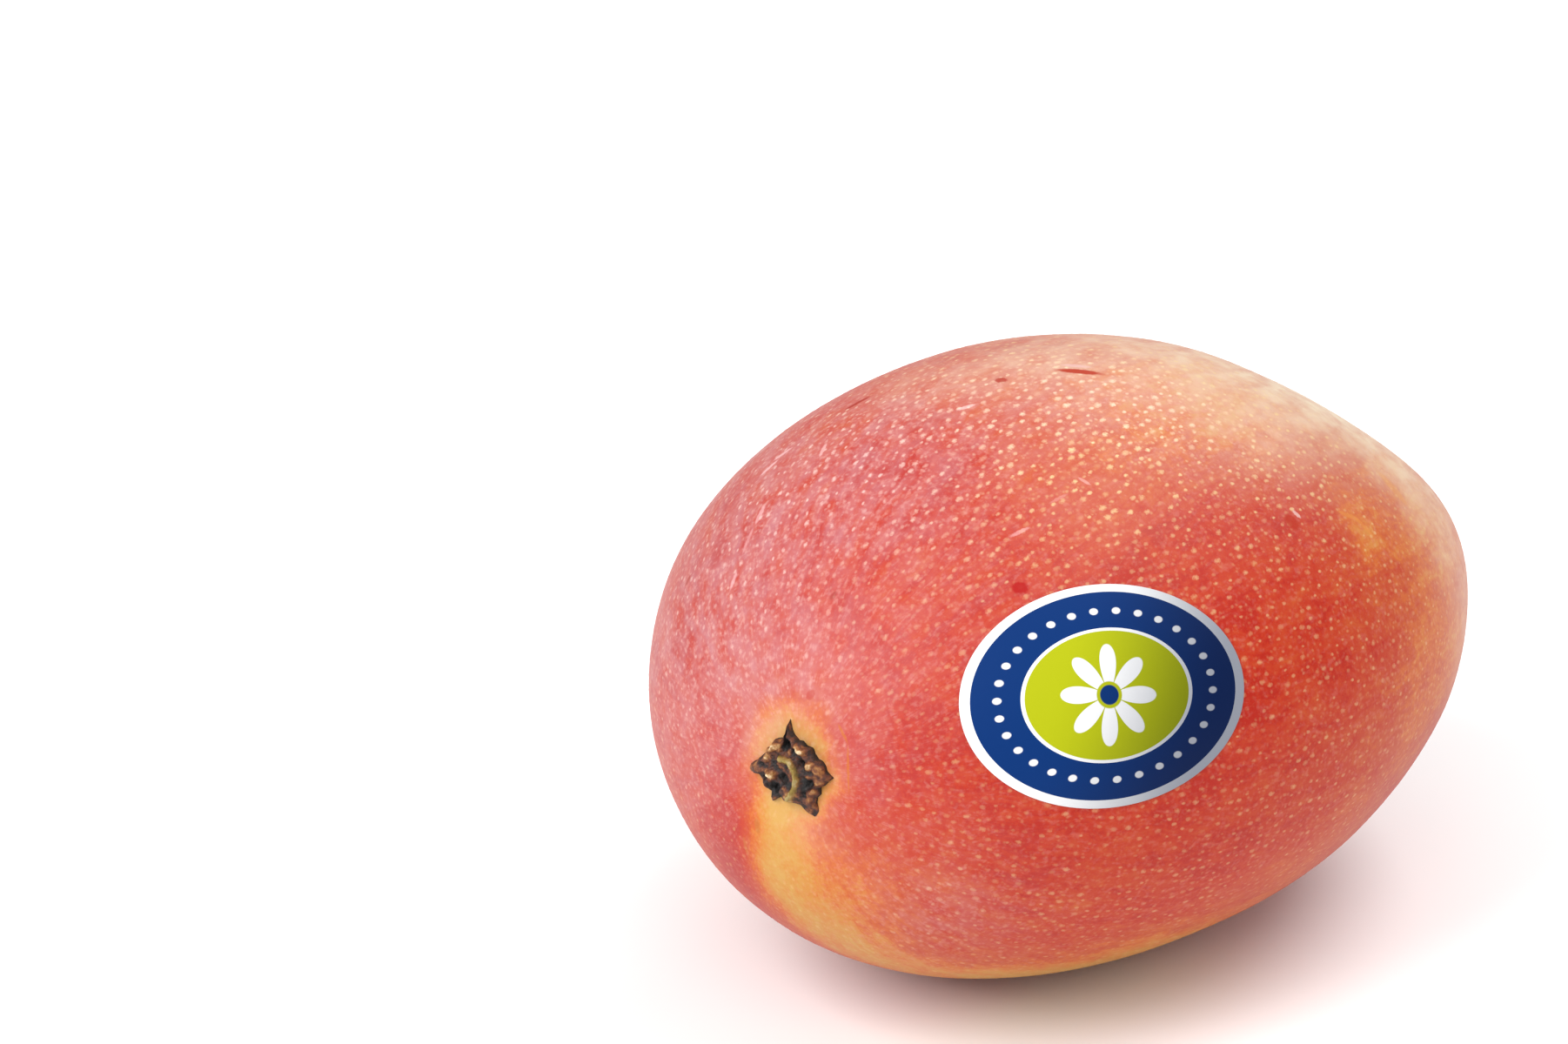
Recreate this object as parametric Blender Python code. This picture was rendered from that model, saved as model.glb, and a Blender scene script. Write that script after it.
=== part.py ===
"""A whole ripe mango lying on its cheek, with its woody stem stub and an oval paper sticker.

Metres, +Z up. The fruit's long axis runs along X: the stem end is at -X, the apex at +X.
The origin is below the middle of the part, on the surface that the fruit rests on.
"""
import math

import bmesh
import bpy
import numpy as np
from mathutils import Vector
from mathutils.bvhtree import BVHTree

for leftover in list(bpy.data.objects):
    bpy.data.objects.remove(leftover, do_unlink=True)

MM = 0.001

# The fruit's body: an ellipsoid, before it tapers and bends
HALF_LENGTH = 61.0 * MM
HALF_BREADTH = 48.1 * MM
HALF_THICKNESS = 41.3 * MM
THICKNESS_TAPER = 0.06        # the stem end is this share thicker, the apex this share thinner
BREADTH_FULLNESS = 0.037      # both ends are this share broader than the ellipsoid
CORNER_SLIMNESS = 0.035       # the section is this share slimmer on its diagonals
SAG = 4.3 * MM                # both ends droop by this against the middle
SIDE_SWEEP = 3.6 * MM         # the ends turn sideways by this, in an S
DROP_SWEEP = 2.0 * MM         # the apex turns down and the stem end up by this

# The beak near the apex and the hollow below it, each a soft swelling of the skin.
# A place on the skin is given by two angles: away from the apex, and round the X axis from +Y.
BEAK_HEIGHT = 3.6 * MM
BEAK_FROM_APEX = math.radians(35.0)
BEAK_TURN = math.radians(132.0)
BEAK_SPREAD = 0.24
HOLLOW_DEPTH = 2.5 * MM
HOLLOW_FROM_APEX = math.radians(58.0)
HOLLOW_TURN = math.radians(200.5)
HOLLOW_SPREAD = 0.305

# How the fruit lies, and the spot that it rests on
PITCH = math.radians(3.25)    # the apex dips
ROLL = math.radians(1.2)
SPOT_DEPTH = 0.55 * MM        # the underside is flattened by this

# The stem end: a shallow dip in the skin, with a pit that holds the stem's root
STEM_FROM_POLE = math.radians(13.6)
STEM_TURN = math.radians(157.5)
DIP_DEPTH = 0.7 * MM
DIP_SPREAD = math.radians(7.0)
PIT_RADIUS = 2.9 * MM
PIT_FLOOR_RADIUS = 2.5 * MM
PIT_DEPTH = 2.4 * MM
PIT_RIM_DROP = 0.15 * MM
FIRST_SKIN_RING = math.radians(4.3)
GAP = 0.3 * MM                # clearance between pieces that touch

# The mesh of the skin: rings round the stem's axis, closer near the stem
SKIN_SEGMENTS = 84
SKIN_RINGS = 52
RING_CROWDING = 0.35
FOOT_RING = math.radians(3.0)         # the stem's axis stands square on the skin inside this ring
SHARP_EDGE = math.radians(50.0)       # steeper edges are shaded sharp

# The stem stub, measured in its own frame: heights above the skin, along the outward normal
ROOT_RADIUS = PIT_FLOOR_RADIUS - GAP
ROOT_DEPTH = PIT_DEPTH - GAP
NECK_RADIUS = PIT_RADIUS - GAP
NECK_HEIGHT = 0.2 * MM
COLLAR_RADIUS = 3.5 * MM
COLLAR_HEIGHTS = (0.45, 0.9, 1.4, 2.0, 2.6)   # of the rings between the neck and the end, in mm
COLLAR_NARROWING = 0.05                       # share lost with each mm of height
POINT_HALF_THICKNESS = 0.8                    # in mm
STUB_HEIGHT = 3.4 * MM
STUB_SEGMENTS = 96
END_SHARES = (1.0, 0.88, 0.74, 0.6, 0.45, 0.3, 0.15)   # rings of the broken end, of its rim
END_RIM = 0.8                 # the broken end's rim, as a share of the collar below it
END_HOLLOW = 1.3 * MM         # the broken end is hollow on both sides of a woody ridge
RIDGE_HALF_WIDTH = 0.75 * MM
RIDGE_BEARING = math.radians(8.0)
RAGGED_WAVES = ((0.35 * MM, 5, 0.6), (0.25 * MM, 8, 2.0))   # height, count round the rim, phase
# The stub's points: bearing in degrees from the top, counter-clockwise as seen from outside,
# reach from the axis in mm, half width in degrees, and height of the tip above the skin in mm
STUB_POINTS = (
    (15.0, 6.2, 6.5, 1.3),
    (57.0, 4.6, 13.0, 1.9),
    (95.0, 6.2, 12.0, 1.2),
    (146.0, 4.9, 8.0, 1.2),
    (219.0, 6.0, 11.0, 1.1),
    (273.0, 5.9, 12.0, 1.2),
    (315.0, 4.4, 12.0, 2.0),
)

# The sticker: an oval cut to lie flat, laid on the front of the fruit
LABEL_HALF_WIDTH = 19.0 * MM
LABEL_HALF_HEIGHT = 14.2 * MM
LABEL_THICKNESS = 0.4 * MM
LABEL_BEARING = math.radians(231.7)   # compass direction of its centre, round Z from +X
LABEL_RISE = math.radians(18.2)       # its centre's direction above the level of the fruit's middle
LABEL_GAP = 0.35 * MM
LABEL_SEGMENTS = 64
LABEL_RINGS = 10
RAY_START = 100.0 * MM        # rays that find the skin start this far outside the label


def unit(vectors):
    return vectors / np.linalg.norm(vectors, axis=-1, keepdims=True)


def direction(from_pole, turn, pole=1.0):
    """The unit direction at an angle from the +X or -X pole, turned round X from +Y."""
    return np.array([
        pole * math.cos(from_pole),
        math.sin(from_pole) * math.cos(turn),
        math.sin(from_pole) * math.sin(turn),
    ])


BEAK_DIRECTION = direction(BEAK_FROM_APEX, BEAK_TURN)
HOLLOW_DIRECTION = direction(HOLLOW_FROM_APEX, HOLLOW_TURN)
STEM_DIRECTION = direction(STEM_FROM_POLE, STEM_TURN, pole=-1.0)


def lay_down(points):
    """Turn the fruit from its own axes to the way it lies."""
    roll = np.array([
        [1, 0, 0],
        [0, math.cos(ROLL), -math.sin(ROLL)],
        [0, math.sin(ROLL), math.cos(ROLL)],
    ])
    pitch = np.array([
        [math.cos(PITCH), 0, math.sin(PITCH)],
        [0, 1, 0],
        [-math.sin(PITCH), 0, math.cos(PITCH)],
    ])
    return points @ (pitch @ roll).T


def skin(directions):
    """Points of the skin for an array of unit directions from the fruit's middle."""
    along, across, up = directions.T
    end_share = along ** 2 - 1 / 3
    breadth = HALF_BREADTH * (1 + BREADTH_FULLNESS * along ** 2)
    thickness = HALF_THICKNESS * (1 - THICKNESS_TAPER * along)
    section = 1 - 4 * CORNER_SLIMNESS * across ** 2 * up ** 2
    points = np.stack([
        HALF_LENGTH * along,
        breadth * across * section + SIDE_SWEEP * along ** 3,
        thickness * up * section - SAG * end_share - DROP_SWEEP * along ** 3,
    ], axis=1)
    outward = unit(directions / np.array([HALF_LENGTH, HALF_BREADTH, HALF_THICKNESS]))
    beak = np.exp((directions @ BEAK_DIRECTION - 1) / BEAK_SPREAD ** 2)
    hollow = np.exp((directions @ HOLLOW_DIRECTION - 1) / HOLLOW_SPREAD ** 2)
    points += outward * (BEAK_HEIGHT * beak - HOLLOW_DEPTH * hollow)[:, None]
    from_stem = np.arccos(np.clip(directions @ STEM_DIRECTION, -1, 1))
    dip = DIP_DEPTH * np.exp(-(from_stem / DIP_SPREAD) ** 2)
    points -= outward * dip[:, None]
    return lay_down(points)


def ring_directions(angle, segments):
    """Directions on a circle of the given angle round the stem's direction."""
    right = unit(np.cross([0.0, 0.0, 1.0], STEM_DIRECTION))
    top = np.cross(STEM_DIRECTION, right)
    turn = np.arange(segments) * 2 * math.pi / segments
    circle = np.cos(turn)[:, None] * top - np.sin(turn)[:, None] * right
    return math.cos(angle) * STEM_DIRECTION + math.sin(angle) * circle


def stem_frame():
    """The stem's foot on the skin, with its outward axis, its upward and its rightward direction."""
    around = skin(ring_directions(FOOT_RING, SKIN_SEGMENTS))
    foot = skin(STEM_DIRECTION[None, :])[0]
    edges = np.roll(around, -1, axis=0) - around
    axis = unit(np.cross(around - foot, edges).sum(axis=0))
    if axis @ foot < 0:
        axis = -axis
    top = unit(np.array([0.0, 0.0, 1.0]) - axis * axis[2])
    return foot, axis, top, np.cross(top, axis)


def stem_circle(radii, heights, segments):
    """A ring round the stem's axis, with its radius and its height above the skin."""
    foot, axis, top, right = stem_frame()
    turn = np.arange(segments) * 2 * math.pi / segments
    outward = np.cos(turn)[:, None] * top - np.sin(turn)[:, None] * right
    radii = np.broadcast_to(radii, segments)[:, None]
    heights = np.broadcast_to(heights, segments)[:, None]
    return foot + outward * radii + axis * heights


def solid_of_rings(name, rings, first_pole, last_pole):
    """A closed mesh object through rings of equal counts, with a point at each end."""
    mesh = bmesh.new()
    first = mesh.verts.new(Vector(first_pole))
    loops = [[mesh.verts.new(Vector(point)) for point in ring] for ring in rings]
    last = mesh.verts.new(Vector(last_pole))
    count = len(loops[0])
    for index in range(count):
        following = (index + 1) % count
        mesh.faces.new((first, loops[0][following], loops[0][index]))
        mesh.faces.new((last, loops[-1][index], loops[-1][following]))
        for lower, upper in zip(loops, loops[1:]):
            mesh.faces.new((lower[index], lower[following], upper[following], upper[index]))
    bmesh.ops.recalc_face_normals(mesh, faces=mesh.faces)
    return finished_object(name, mesh)


def finished_object(name, mesh):
    data = bpy.data.meshes.new(name)
    mesh.to_mesh(data)
    mesh.free()
    data.shade_smooth()
    data.set_sharp_from_angle(angle=SHARP_EDGE)
    result = bpy.data.objects.new(name, data)
    bpy.context.collection.objects.link(result)
    return result


def give_material(target, name, colour, roughness):
    material = bpy.data.materials.new(name)
    material.use_nodes = True
    shader = material.node_tree.nodes["Principled BSDF"]
    shader.inputs["Base Color"].default_value = (*colour, 1.0)
    shader.inputs["Roughness"].default_value = roughness
    shader.inputs["Metallic"].default_value = 0.0
    target.data.materials.append(material)


def make_fruit():
    """The fruit's one closed skin, from the floor of the stem's pit round to the far end."""
    pit_floor = stem_circle(PIT_FLOOR_RADIUS, -PIT_DEPTH, SKIN_SEGMENTS)
    pit_rim = stem_circle(PIT_RADIUS, -PIT_RIM_DROP, SKIN_SEGMENTS)
    rings = [pit_floor, pit_rim]
    span = math.pi - FIRST_SKIN_RING
    for index in range(SKIN_RINGS):
        share = index / SKIN_RINGS
        crowded = share - RING_CROWDING * share * (1 - share)
        rings.append(skin(ring_directions(FIRST_SKIN_RING + span * crowded, SKIN_SEGMENTS)))
    far_end = skin(-STEM_DIRECTION[None, :])[0]
    foot, axis, _, _ = stem_frame()
    spot = min(ring[:, 2].min() for ring in rings) + SPOT_DEPTH
    for ring in rings:
        ring[:, 2] = np.maximum(ring[:, 2], spot)
    return solid_of_rings("fruit", rings, foot - axis * PIT_DEPTH, far_end), spot


def stub_outline(height):
    """Radii round the stub at a height in mm: its round core with the points that stand out of it."""
    turn = np.degrees(np.arange(STUB_SEGMENTS) * 2 * math.pi / STUB_SEGMENTS)
    radii = np.full(STUB_SEGMENTS, COLLAR_RADIUS)
    for bearing, reach, half_width, tip_height in STUB_POINTS:
        away = (turn - bearing + 180) % 360 - 180
        level = math.exp(-((height - tip_height) / POINT_HALF_THICKNESS) ** 2)
        radii += (reach * MM - COLLAR_RADIUS) * level * np.exp(-(away / half_width) ** 2)
    return radii * (1 - COLLAR_NARROWING * height)


def make_stem():
    """The dry stub: a root in the pit, a collar with ragged points, and a broken, ridged end."""
    foot, axis, _, _ = stem_frame()
    turn = np.arange(STUB_SEGMENTS) * 2 * math.pi / STUB_SEGMENTS
    rings = [
        stem_circle(ROOT_RADIUS, -ROOT_DEPTH, STUB_SEGMENTS),
        stem_circle(NECK_RADIUS, NECK_HEIGHT, STUB_SEGMENTS),
    ]
    for height in COLLAR_HEIGHTS:
        rings.append(stem_circle(stub_outline(height), height * MM, STUB_SEGMENTS))
    rim = END_RIM * stub_outline(COLLAR_HEIGHTS[-1])
    ragged = sum(height * np.sin(count * turn + phase) for height, count, phase in RAGGED_WAVES)
    for share in END_SHARES:
        from_ridge = rim * share * np.sin(turn - RIDGE_BEARING)
        hollow = END_HOLLOW * (1 - share ** 2) * (1 - np.exp(-(from_ridge / RIDGE_HALF_WIDTH) ** 2))
        heights = STUB_HEIGHT + ragged * share ** 2 - hollow
        rings.append(stem_circle(rim * share, heights, STUB_SEGMENTS))
    return solid_of_rings("stem", rings, foot - axis * ROOT_DEPTH, foot + axis * STUB_HEIGHT)


def make_label(fruit):
    """The sticker: an oval laid on the skin along its own normal, as two faces and a cut edge."""
    source = bmesh.new()
    source.from_mesh(fruit.data)
    tree = BVHTree.FromBMesh(source)
    source.free()

    def drop(start, towards):
        place, face_normal, _, _ = tree.ray_cast(start - towards * RAY_START, towards)
        return place, face_normal

    outward = Vector((
        math.cos(LABEL_BEARING) * math.cos(LABEL_RISE),
        math.sin(LABEL_BEARING) * math.cos(LABEL_RISE),
        math.sin(LABEL_RISE),
    ))
    level = Vector((0, 0, 1)).cross(outward).normalized()
    rise = outward.cross(level)
    turns = [step * 2 * math.pi / LABEL_SEGMENTS for step in range(LABEL_SEGMENTS)]
    centre, _ = drop(Vector(), -outward)
    normal = Vector()
    for turn in turns:
        offset = (level * math.cos(turn) + rise * math.sin(turn)) * LABEL_HALF_HEIGHT
        normal += drop(centre + offset, -outward)[1]
    normal.normalize()
    width_way = Vector((0, 0, 1)).cross(normal).normalized()
    height_way = normal.cross(width_way)

    def on_skin(share, turn, lift):
        offset = (width_way * LABEL_HALF_WIDTH * math.cos(turn)
                  + height_way * LABEL_HALF_HEIGHT * math.sin(turn)) * share
        return drop(centre + offset, -normal)[0] + normal * lift

    shares = [(ring + 1) / LABEL_RINGS for ring in range(LABEL_RINGS)]
    lifts = (LABEL_GAP, LABEL_GAP + LABEL_THICKNESS)
    under = [[on_skin(share, turn, lifts[0]) for turn in turns] for share in shares]
    over = [[on_skin(share, turn, lifts[1]) for turn in turns] for share in shares]
    rings = under + over[::-1]
    return solid_of_rings("label", rings, on_skin(0, 0, lifts[0]), on_skin(0, 0, lifts[1]))


def stand_on_origin(parts, spot):
    """Move the parts together so that the origin is under the middle of their common box."""
    corners = [part.matrix_world @ Vector(corner) for part in parts for corner in part.bound_box]
    middle_x = (min(c.x for c in corners) + max(c.x for c in corners)) / 2
    middle_y = (min(c.y for c in corners) + max(c.y for c in corners)) / 2
    mango = bpy.data.objects.new("mango", None)
    bpy.context.collection.objects.link(mango)
    mango.location = (-middle_x, -middle_y, -spot)
    for part in parts:
        part.parent = mango


fruit, spot = make_fruit()
stem = make_stem()
label = make_label(fruit)
give_material(fruit, "fruit skin", (0.62, 0.13, 0.08), 0.45)
give_material(stem, "dry wood", (0.10, 0.055, 0.03), 0.8)
give_material(label, "coated paper", (0.02, 0.09, 0.3), 0.35)
stand_on_origin([fruit, stem, label], spot)
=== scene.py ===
import math

import bmesh
import bpy
import numpy as np
from mathutils import Matrix, Vector, noise
from mathutils.bvhtree import BVHTree


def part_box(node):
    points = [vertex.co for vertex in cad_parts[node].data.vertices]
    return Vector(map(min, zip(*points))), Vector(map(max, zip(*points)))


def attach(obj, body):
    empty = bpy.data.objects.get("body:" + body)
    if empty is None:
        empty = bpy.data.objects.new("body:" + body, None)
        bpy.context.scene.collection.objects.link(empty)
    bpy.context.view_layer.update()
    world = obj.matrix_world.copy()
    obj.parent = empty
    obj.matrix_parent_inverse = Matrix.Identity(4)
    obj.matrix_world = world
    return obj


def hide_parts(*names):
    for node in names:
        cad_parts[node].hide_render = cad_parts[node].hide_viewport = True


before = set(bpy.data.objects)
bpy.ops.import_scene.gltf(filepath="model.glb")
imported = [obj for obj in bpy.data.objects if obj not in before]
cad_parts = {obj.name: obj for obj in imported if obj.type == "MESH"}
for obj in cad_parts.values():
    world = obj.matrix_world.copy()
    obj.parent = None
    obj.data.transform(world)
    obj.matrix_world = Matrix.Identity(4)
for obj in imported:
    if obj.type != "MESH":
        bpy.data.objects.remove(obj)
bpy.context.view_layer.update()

# The fruit. One grown body of flesh under a thin, waxy skin, 122 mm long. It takes its form from the
# frame's solid, with its facets rounded off and the faint unevenness that a real skin has.
# It lies loose on its cheek, and everything else is fixed to it.
MM = 0.001
SAME_POINT = 0.001 * MM
FRUIT_ROUNDING = 2
UNEVENNESS = ((14.0 * MM, 0.14 * MM), (5.0 * MM, 0.03 * MM))   # size of the swellings, and their height
SPOT_MARGIN = 4.0 * MM        # the unevenness fades out this far above the spot that it rests on


def smooth_copy(node, levels):
    """A frame node's mesh as a new piece, its triangles paired and its facets rounded off."""
    source = bmesh.new()
    source.from_mesh(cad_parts[node].data)
    bmesh.ops.remove_doubles(source, verts=source.verts, dist=SAME_POINT)
    bmesh.ops.join_triangles(
        source, faces=source.faces, angle_face_threshold=math.pi, angle_shape_threshold=math.pi
    )
    source.verts.index_update()
    mesh = bpy.data.meshes.new(node + "_cage")
    mesh.from_pydata(
        [vertex.co for vertex in source.verts],
        [],
        [[vertex.index for vertex in face.verts] for face in source.faces],
    )
    source.free()
    cage = bpy.data.objects.new(node + "_cage", mesh)
    bpy.context.collection.objects.link(cage)
    rounding = cage.modifiers.new("rounding", "SUBSURF")
    rounding.levels = levels
    rounding.render_levels = levels
    evaluated = cage.evaluated_get(bpy.context.evaluated_depsgraph_get())
    rounded = bpy.data.meshes.new_from_object(evaluated)
    bpy.data.objects.remove(cage)
    return rounded


def new_piece(name, mesh):
    mesh.shade_smooth()
    piece = bpy.data.objects.new(name, mesh)
    bpy.context.collection.objects.link(piece)
    return piece


def points_of(mesh):
    points = np.empty(len(mesh.vertices) * 3, np.float32)
    mesh.vertices.foreach_get("co", points)
    return points.reshape(-1, 3).astype(float)


def normals_of(mesh):
    normals = np.empty(len(mesh.vertices) * 3, np.float32)
    mesh.vertex_normals.foreach_get("vector", normals)
    return normals.reshape(-1, 3).astype(float)


def move_points(mesh, points):
    mesh.vertices.foreach_set("co", points.astype(np.float32).ravel())
    mesh.update()


def waves(points, size, draw=0.0):
    """Smooth noise from -1 to 1 at each point, in swellings of about a size. Each draw is another pattern."""
    return np.array([noise.noise(Vector(point) / size + Vector((draw, 0, 0))) for point in points])


def keep(mesh, name, values):
    """Store a number or a vector for each point, for the material to read."""
    kind = "FLOAT" if values.ndim == 1 else "FLOAT_VECTOR"
    attribute = mesh.attributes.new(name, kind, "POINT")
    field = "value" if values.ndim == 1 else "vector"
    attribute.data.foreach_set(field, values.astype(np.float32).ravel())


fruit_low, fruit_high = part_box("fruit")
fruit_middle = np.array((fruit_low + fruit_high) / 2)
skin_mesh = smooth_copy("fruit", FRUIT_ROUNDING)
skin_points = points_of(skin_mesh)
skin_normals = normals_of(skin_mesh)
above_spot = np.clip(skin_points[:, 2] / SPOT_MARGIN, 0, 1)
for size, height in UNEVENNESS:
    swelling = waves(skin_points, size) * height * above_spot
    skin_points += skin_normals * swelling[:, None]
move_points(skin_mesh, skin_points)
fruit = new_piece("fruit_skin", skin_mesh)

# The stem's foot and axis, from the flat floor of the frame's stem, which sits 2.1 mm under the skin.
# The stub has grown off the middle of its foot, to the left.
ROOT_DEPTH = 2.1 * MM
ROOT_SLICE = 0.6 * MM         # the floor's points lie within this of the deepest one
STUB_CENTRE = (-1.6, 0.2)     # right of the foot and above it, in mm
stem_cad_points = points_of(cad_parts["stem"].data)
inward = fruit_middle - stem_cad_points.mean(axis=0)
inward /= np.linalg.norm(inward)
stem_depths = stem_cad_points @ inward
root_floor = stem_cad_points[stem_depths > stem_depths.max() - ROOT_SLICE]
stem_axis = np.linalg.svd(root_floor - root_floor.mean(axis=0))[2][2]
stem_axis *= -np.sign(stem_axis @ inward)
stem_foot = root_floor.mean(axis=0) + stem_axis * ROOT_DEPTH
stem_top = np.array([0.0, 0.0, 1.0]) - stem_axis * stem_axis[2]
stem_top /= np.linalg.norm(stem_top)
stem_right = np.cross(stem_top, stem_axis)

# The skin round the stem as a smooth dish in the stem's own directions, measured outside the pit. The
# skin is closed along it, because the stub that stands there is wider than the pit on one side only.
PIT_REACH = 3.4               # in mm from the stem's axis, as the dish's reach is
DISH_REACH = 9.0
FILL_SINK = 0.15              # the closed pit lies this much under the dish, in mm
DISH_WITHIN = 12 * MM         # of the foot, so that the fruit's far end stays out
PIT_WITHIN = 6 * MM
from_foot = skin_points - stem_foot
foot_distance = np.linalg.norm(from_foot, axis=1)
skin_across, skin_up, skin_rise = (from_foot @ way / MM for way in (stem_right, stem_top, stem_axis))
skin_reach = np.hypot(skin_across, skin_up)
beside = (skin_reach > PIT_REACH) & (skin_reach < DISH_REACH) & (foot_distance < DISH_WITHIN)


def dish_terms(x, y):
    return np.stack([np.ones_like(x), x, y, x * x, x * y, y * y], axis=-1)


dish = np.linalg.lstsq(dish_terms(skin_across[beside], skin_up[beside]), skin_rise[beside], rcond=None)[0]
filled = dish_terms(skin_across, skin_up) @ dish - FILL_SINK
in_pit = (skin_reach < PIT_REACH) & (foot_distance < PIT_WITHIN) & (skin_rise < filled)
skin_points[in_pit] += ((filled - skin_rise)[in_pit] * MM)[:, None] * stem_axis
move_points(skin_mesh, skin_points)
skin_tree = BVHTree.FromPolygons(
    [Vector(point) for point in skin_points], [polygon.vertices[:] for polygon in skin_mesh.polygons]
)


def on_skin(bearing, rise):
    """The point of the skin seen from the fruit's middle at a compass bearing and a rise, in degrees."""
    around, up = math.radians(bearing), math.radians(rise)
    way = Vector((math.cos(around) * math.cos(up), math.sin(around) * math.cos(up), math.sin(up)))
    place, normal, _, _ = skin_tree.ray_cast(Vector(fruit_middle) + way, -way)
    return np.array(place), normal


# How the fruit has coloured. Each patch is its bearing and rise in degrees, its radius in mm and what
# it adds. Blush runs from 0, the yellow ground colour, to 1, the deep red of the sunny side.
BLUSH = 0.90
BLUSH_PATCHES = (
    (290, 66, 16, -0.34), (250, 72, 14, -0.16), (258, 64, 10, -0.06), (232, 50, 12, -0.10),
    (302, 51, 9, -0.12), (168, 61, 12, -0.08), (275, 26, 8, -0.08), (330, 52, 12, -0.24),
    (320, 20, 16, -0.40), (306, 0, 12, -0.28), (321, 1, 8, -0.16), (302, 29, 5.5, -0.36),
    (292, 22, 8, -0.14), (288, -8, 14, -0.22),
    (157, 30, 14, -0.06), (186, 11, 6, -0.10), (194, 13, 6, -0.08), (208, -12, 9, -0.06),
    (190, -5, 5, -0.47), (188, -12, 6, -0.64), (192, -20, 8, -0.60), (198, -30, 9, -0.46),
    (195, -8, 7, -0.30), (205, -7, 9, -0.16), (201, -16, 7, -0.18), (212, -38, 10, -0.40),
    (228, -46, 13, -0.35), (250, -52, 14, -0.24), (275, -52, 16, -0.20), (181, -12, 5, 0.25),
    (183.5, -6, 3.2, 0.20), (181.5, -13, 3.2, 0.20), (180, -20, 3.5, 0.18), (252, 42, 8, 0.12),
    (240, -78, 30, -0.42), (60, 10, 30, -0.35), (100, -10, 26, -0.25), (20, -10, 22, -0.25),
)
BLUSH_DRIFT = (18.0 * MM, 0.10)         # the size of its wide swellings, and how much blush they add
# The yellow ring round the stub, where the blush is missing and the bloom is thin
HALO_RADIUS = 7.5                       # in mm
HALO_BLUSH = -0.80
HALO_CLEAR = 0.65                       # the share of the bloom that is missing
HALO_RAGGED = (4.0 * MM, 0.25)          # the size and the share of the unevenness of its edge
# The grey-white bloom that turns the red to rose, thickest on the stem's half
BLOOM = 0.0
BLOOM_PATCHES = (
    (171, 24, 24, 0.17), (173, 4, 20, 0.14), (165, 46, 18, 0.11), (192, 38, 13, 0.09),
    (214, 22, 16, 0.05), (200, 66, 18, 0.09), (270, 74, 16, 0.10), (290, 54, 12, 0.06),
    (190, 12, 10, 0.14), (200, 5, 7, 0.10), (210, -14, 12, 0.12), (120, 20, 26, 0.18),
    (189, -10, 7, -0.10), (188, -4, 5, -0.08), (181, 18, 9, 0.08), (194, 27, 8, -0.05),
    (232, 52, 10, -0.05),
)
# Where the skin pales to cream: along the top and at the apex. This is partly the skin's own cream ground
# colour and partly a painted highlight, the glow of light along the upper edge and the rim by the apex.
PALE_AND_SHEEN = 0.0
PALE_AND_SHEEN_PATCHES = (
    (5, 74, 14, 0.36), (344, 54, 14, 0.40), (352, 82, 6, -0.10), (302, 51, 9, 0.08),
    (318, 44, 9, 0.12), (232, 50, 11, 0.07), (256, 66, 10, 0.06), (160, 76, 12, 0.06),
    (344, 34, 14, 0.66), (334, 18, 11, 0.34), (326, 2, 11, 0.24), (322, 17, 7, 0.20),
    (329, 27, 8, 0.08), (320, 4, 7, 0.04), (303, 52, 9, 0.14), (200, 82, 10, 0.12),
    (120, 86, 7, 0.16), (355, 74, 5, 0.12), (158, 66, 8, 0.06), (155, 66, 10, 0.12), (60, 40, 22, 0.30),
    (187, 5, 3, 0.10), (188, 8, 3, 0.08), (195, -4, 4, 0.12),
)
# How clearly the lenticels show, and how large they are
DOTS = 0.27
DOT_PATCHES = (
    (240, 78, 24, 0.50), (235, 54, 16, 0.26), (300, 45, 16, 0.26), (250, 45, 12, -0.08),
    (168, 34, 22, 0.20), (193, 26, 8, -0.10), (280, 0, 20, 0.05), (192, 3, 16, -0.14),
    (188, -25, 14, -0.10),
)
DOT_SIZE = 1.0
DOT_SIZE_PATCHES = ((240, 76, 30, 0.30), (300, 5, 30, -0.10), (192, 3, 18, -0.20))


def patched(base, patches):
    """A value over the skin: the base, changed round each patch."""
    values = np.full(len(skin_points), float(base))
    for bearing, rise, radius, change in patches:
        distance = np.linalg.norm(skin_points - on_skin(bearing, rise)[0], axis=1)
        values += change * np.exp(-(distance / (radius * MM)) ** 2)
    return values


# The lines that the colour follows run from the stem to the apex. "flow" holds the turn round the stem
# as a sine and a cosine, and the angle from it. "meridian" points along the lines.
from_middle = skin_points - fruit_middle
from_middle /= np.linalg.norm(from_middle, axis=1, keepdims=True)
stem_way = (stem_foot - fruit_middle) / np.linalg.norm(stem_foot - fruit_middle)
turn_across = from_middle @ np.cross(stem_way, stem_top)
turn_up = from_middle @ np.cross(np.cross(stem_way, stem_top), stem_way)
turn_length = np.maximum(np.hypot(turn_across, turn_up), 1e-6)
from_stem = np.arccos(np.clip(from_middle @ stem_way, -1, 1))
keep(skin_mesh, "flow", np.stack([turn_across / turn_length, turn_up / turn_length, from_stem], axis=1))
meridian = from_middle * (from_middle @ stem_way)[:, None] - stem_way
keep(skin_mesh, "meridian", meridian)
halo_edge = 1 + HALO_RAGGED[1] * waves(skin_points, HALO_RAGGED[0], draw=11.0)
halo_centre = stem_foot + MM * (STUB_CENTRE[0] * stem_right + STUB_CENTRE[1] * stem_top)
halo_distance = np.linalg.norm(skin_points - halo_centre, axis=1) / MM * halo_edge
in_halo = np.exp(-(halo_distance / HALO_RADIUS) ** 4)
blush = patched(BLUSH, BLUSH_PATCHES)
blush += HALO_BLUSH * in_halo
blush += BLUSH_DRIFT[1] * waves(skin_points, BLUSH_DRIFT[0], draw=3.0)
keep(skin_mesh, "blush", blush)
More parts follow.
